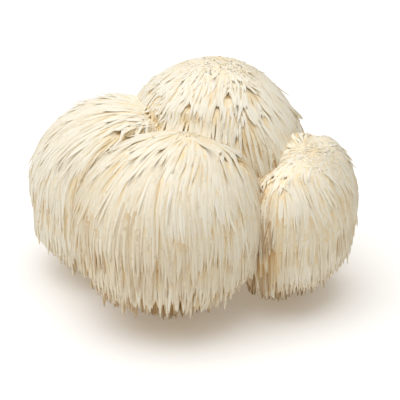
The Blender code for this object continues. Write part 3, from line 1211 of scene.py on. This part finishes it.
def map_axes(tree):
    """The U and V of a piece's own map, as separate outputs."""
    uv = tree.nodes.new("ShaderNodeUVMap")
    uv.uv_map = "OFBake"
    split = tree.nodes.new("ShaderNodeSeparateXYZ")
    tree.links.new(uv.outputs["UV"], split.inputs["Vector"])
    return split.outputs["X"], split.outputs["Y"]


def colour_mix(tree, first, second, factor=None, blend="MIX"):
    """Mix a colour output with another, or with a plain colour."""
    mix = tree.nodes.new("ShaderNodeMix")
    mix.data_type = "RGBA"
    mix.blend_type = blend
    tree.links.new(first, mix.inputs[6])
    if isinstance(second, tuple):
        mix.inputs[7].default_value = (*second, 1.0)
    else:
        tree.links.new(second, mix.inputs[7])
    if factor is None:
        mix.inputs["Factor"].default_value = 1.0
    else:
        tree.links.new(factor, mix.inputs["Factor"])
    return mix.outputs[2]


def spine_material():
    """Milky spines: tint across the map's U, with painted shade in it, and along its V painted shade,
    deep and ochre, to outer and white.
    """
    material, tree, shader = new_material("milky_spines", 0.62)
    shader.inputs["Specular IOR Level"].default_value = 0.3
    tint, depth = map_axes(tree)
    body = ramp(tree, SPINE_TINTS, tint)
    shade = ramp(tree, SPINE_DEPTH_SHADES, depth)
    colour = colour_mix(tree, body, shade, blend="MULTIPLY")
    tree.links.new(colour, shader.inputs["Base Color"])
    return material


def flesh_material(name, light, dark, scale, mapped=False):
    """Fibrous flesh: mottled, and where it is mapped, paler at a crown and darker in pits, a painted
    shade in the hollows.
    """
    material, tree, shader = new_material(name, 0.75)
    place = tree.nodes.new("ShaderNodeTexCoord")
    mottle = tree.nodes.new("ShaderNodeTexNoise")
    mottle.inputs["Scale"].default_value = scale
    mottle.inputs["Detail"].default_value = 6.0
    tree.links.new(place.outputs["Object"], mottle.inputs["Vector"])
    stops = tuple(zip(MOTTLE_STOPS, (dark, light)))
    colour = ramp(tree, stops, mottle.outputs["Fac"])
    if mapped:
        crown, pit = map_axes(tree)
        colour = colour_mix(tree, colour, FLESH_AT_CROWN, factor=crown)
        colour = colour_mix(tree, colour, FLESH_SHADED_IN_PITS, factor=pit)
    tree.links.new(colour, shader.inputs["Base Color"])
    bump = tree.nodes.new("ShaderNodeBump")
    bump.inputs["Strength"].default_value = 0.5
    bump.inputs["Distance"].default_value = 0.0006
    tree.links.new(mottle.outputs["Fac"], bump.inputs["Height"])
    tree.links.new(bump.outputs["Normal"], shader.inputs["Normal"])
    return material


def wear(piece, material):
    piece.data.materials.clear()
    piece.data.materials.append(material)


def build_heads():
    milky = spine_material()
    ochre = flesh_material("ochre_flesh", FLESH_LIGHT, FLESH_DARK, FLESH_MOTTLE, mapped=True)
    for name in HEADS:
        pieces = ((head_spines(name), milky), (head_tufts(name), milky), (head_flesh(name), ochre))
        for piece, material in pieces:
            wear(piece, material)
            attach(piece, "root")
            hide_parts(name)


def dress_base():
    cut = flesh_material("cut_base_flesh", BASE_LIGHT, BASE_DARK, BASE_MOTTLE)
    wear(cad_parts["base"], cut)


def build_floor():
    bm = bmesh.new()
    bmesh.ops.create_grid(bm, x_segments=1, y_segments=1, size=FLOOR_SIZE)
    bmesh.ops.translate(bm, verts=bm.verts[:], vec=(0.0, 0.0, -FLOOR_DROP))
    floor = add_object("floor", bmesh_to_mesh("floor", bm))
    material, _, shader = new_material("white_floor", 0.9)
    shader.inputs["Base Color"].default_value = FLOOR_COLOUR
    shader.inputs["Specular IOR Level"].default_value = 0.1
    shader.inputs["Emission Color"].default_value = FLOOR_GLOW_COLOUR
    shader.inputs["Emission Strength"].default_value = FLOOR_GLOW
    wear(floor, material)


def look_at(item, target):
    item.rotation_euler = (target - item.location).to_track_quat("-Z", "Y").to_euler()


def add_soft_sun(name, toward, spread, strength):
    data = bpy.data.lights.new(name, "SUN")
    data.angle = math.radians(spread)
    data.energy = strength
    light = add_object(name, data)
    light.location = Vector(toward)
    look_at(light, Vector((0.0, 0.0, 0.0)))


def light_scene():
    """A white studio: bright overhead, dimmer towards the horizon, with two wide soft suns."""
    world = bpy.data.worlds.new("white_studio")
    world.use_nodes = True
    tree = world.node_tree
    way = tree.nodes.new("ShaderNodeTexCoord")
    split = tree.nodes.new("ShaderNodeSeparateXYZ")
    tree.links.new(way.outputs["Generated"], split.inputs["Vector"])
    sky = ramp(tree, ((0.0, HORIZON), (0.5, HALF_UP), (1.0, ZENITH)), split.outputs["Z"])
    tree.links.new(sky, tree.nodes["Background"].inputs["Color"])
    bpy.context.scene.world = world
    add_soft_sun("key", KEY_WAY, KEY_SPREAD, KEY_STRENGTH)
    add_soft_sun("side", SIDE_WAY, SIDE_SPREAD, SIDE_STRENGTH)


def add_camera():
    data = bpy.data.cameras.new("camera")
    data.lens = VIEW_LENS
    data.sensor_width = SENSOR_WIDTH
    camera = add_object("camera", data)
    rise = math.radians(VIEW_ELEVATION)
    back = Vector((0.0, -math.cos(rise), math.sin(rise)))
    camera.location = VIEW_TARGET + back * VIEW_DISTANCE
    look_at(camera, VIEW_TARGET)
    bpy.context.scene.camera = camera


build_heads()
dress_base()
build_floor()
light_scene()
add_camera()
bpy.context.scene.view_settings.view_transform = "Standard"
